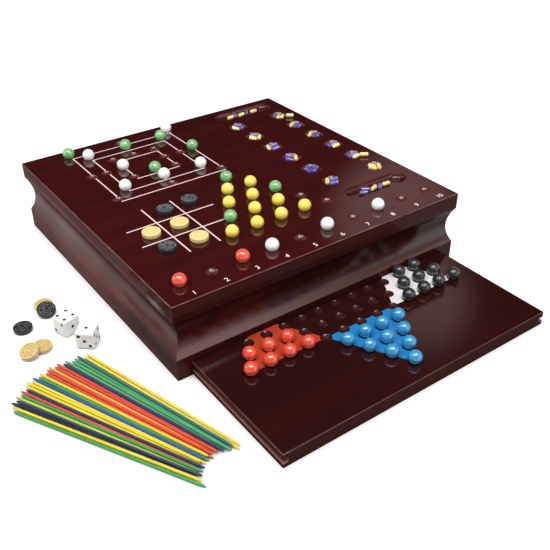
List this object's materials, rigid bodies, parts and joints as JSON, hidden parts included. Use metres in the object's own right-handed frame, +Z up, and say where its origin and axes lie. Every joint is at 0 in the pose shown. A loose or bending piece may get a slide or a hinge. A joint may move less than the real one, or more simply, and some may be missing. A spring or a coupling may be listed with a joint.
{
  "type": "games compendium box",
  "caption": "Wooden games compendium: cove-sided square box with play boards on top, a star board that slides out of the foot, and marbles, stones, checkers, dice and pick-up sticks set out.",
  "frame": {"origin": "centre of the box's underside, on the table plane", "axes": "+Z up, +X to the right along the front face, +Y to the back; the star board slides out along -Y"},
  "size_m": [0.4938, 0.497, 0.0948],
  "materials": {
    "mahogany": "gloss",
    "inner_wood": "satin",
    "pin_steel": "satin",
    "line_print": "matte",
    "blue_paint": "satin",
    "white_paint": "satin",
    "black_paint": "satin",
    "green_paint": "satin",
    "yellow_paint": "satin",
    "red_paint": "satin",
    "green_marble": "gloss",
    "white_marble": "gloss",
    "yellow_marble": "gloss",
    "red_marble": "gloss",
    "blue_marble": "gloss",
    "black_marble": "gloss",
    "black_checker": "satin",
    "cream_checker": "satin",
    "die_white": "gloss",
    "pip_black": "matte",
    "yellow_stone": "gloss",
    "violet_stone": "gloss",
    "green_stick": "satin",
    "light_green_stick": "satin",
    "lime_stick": "satin",
    "yellow_stick": "satin",
    "orange_stick": "satin",
    "red_stick": "satin",
    "blue_stick": "satin",
    "teal_stick": "satin",
    "navy_stick": "satin",
    "black_stick": "satin"
  },
  "bodies": {
    "box": {"top_board": "mahogany", "front_moulding": "mahogany", "rear_moulding": "mahogany", "left_moulding": "mahogany", "right_moulding": "mahogany", "left_rail": "inner_wood", "right_rail": "inner_wood", "rail_pins": "pin_steel", "top_dowels": "inner_wood", "corner_blocks": "inner_wood", "long_divider": "inner_wood", "left_cross_divider": "inner_wood", "right_cross_divider": "inner_wood", "mill_lines": "line_print", "noughts_lines": "line_print"},
    "pull_out_board": {"star_board": "mahogany", "blue_field": "blue_paint", "white_field": "white_paint", "black_field": "black_paint", "green_field": "green_paint", "yellow_field": "yellow_paint", "red_field": "red_paint"},
    "mill_set": {"mill_green_marbles": "green_marble", "mill_white_marbles": "white_marble"},
    "solitaire_set": {"solitaire_green_marbles": "green_marble", "solitaire_yellow_marbles": "yellow_marble"},
    "number_set": {"number_red_marbles": "red_marble", "number_white_marbles": "white_marble"},
    "star_set": {"star_blue_marbles": "blue_marble", "star_red_marbles": "red_marble", "star_black_marbles": "black_marble"},
    "noughts_set": {"noughts_black_checkers": "black_checker", "noughts_cream_checkers": "cream_checker"},
    "stones_set": {"yellow_stones": "yellow_stone", "violet_stones": "violet_stone"},
    "loose_checkers": {"loose_black_checkers": "black_checker", "loose_cream_checkers": "cream_checker"},
    "left_die_set": {"left_die": "die_white", "left_die_pips": "pip_black"},
    "right_die_set": {"right_die": "die_white", "right_die_pips": "pip_black"},
    "pick_up_sticks": {"green_sticks": "green_stick", "light_green_sticks": "light_green_stick", "lime_sticks": "lime_stick", "yellow_sticks": "yellow_stick", "orange_sticks": "orange_stick", "red_sticks": "red_stick", "blue_sticks": "blue_stick", "teal_sticks": "teal_stick", "navy_sticks": "navy_stick", "black_sticks": "black_stick"}
  },
  "joints": [
    {"name": "board_slide", "type": "slide", "parent": "box", "child": "pull_out_board", "axis": [0, -1, 0], "range_m": [0, 0.19]},
    {"name": "mill_lift", "type": "slide", "parent": "box", "child": "mill_set", "axis": [0, 0, 1], "range_m": [0, 0.06]},
    {"name": "solitaire_lift", "type": "slide", "parent": "box", "child": "solitaire_set", "axis": [0, 0, 1], "range_m": [0, 0.06]},
    {"name": "number_lift", "type": "slide", "parent": "box", "child": "number_set", "axis": [0, 0, 1], "range_m": [0, 0.06]},
    {"name": "star_lift", "type": "slide", "parent": "pull_out_board", "child": "star_set", "axis": [0, 0, 1], "range_m": [0, 0.06]},
    {"name": "noughts_lift", "type": "slide", "parent": "box", "child": "noughts_set", "axis": [0, 0, 1], "range_m": [0, 0.06]},
    {"name": "stones_lift", "type": "slide", "parent": "box", "child": "stones_set", "axis": [0, 0, 1], "range_m": [0, 0.06]},
    {"name": "loose_checkers_lift", "type": "slide", "parent": "box", "child": "loose_checkers", "axis": [0, 0, 1], "range_m": [0, 0.06]},
    {"name": "left_die_lift", "type": "slide", "parent": "box", "child": "left_die_set", "axis": [0, 0, 1], "range_m": [0, 0.06]},
    {"name": "right_die_lift", "type": "slide", "parent": "box", "child": "right_die_set", "axis": [0, 0, 1], "range_m": [0, 0.06]},
    {"name": "sticks_lift", "type": "slide", "parent": "box", "child": "pick_up_sticks", "axis": [0, 0, 1], "range_m": [0, 0.06]}
  ]
}
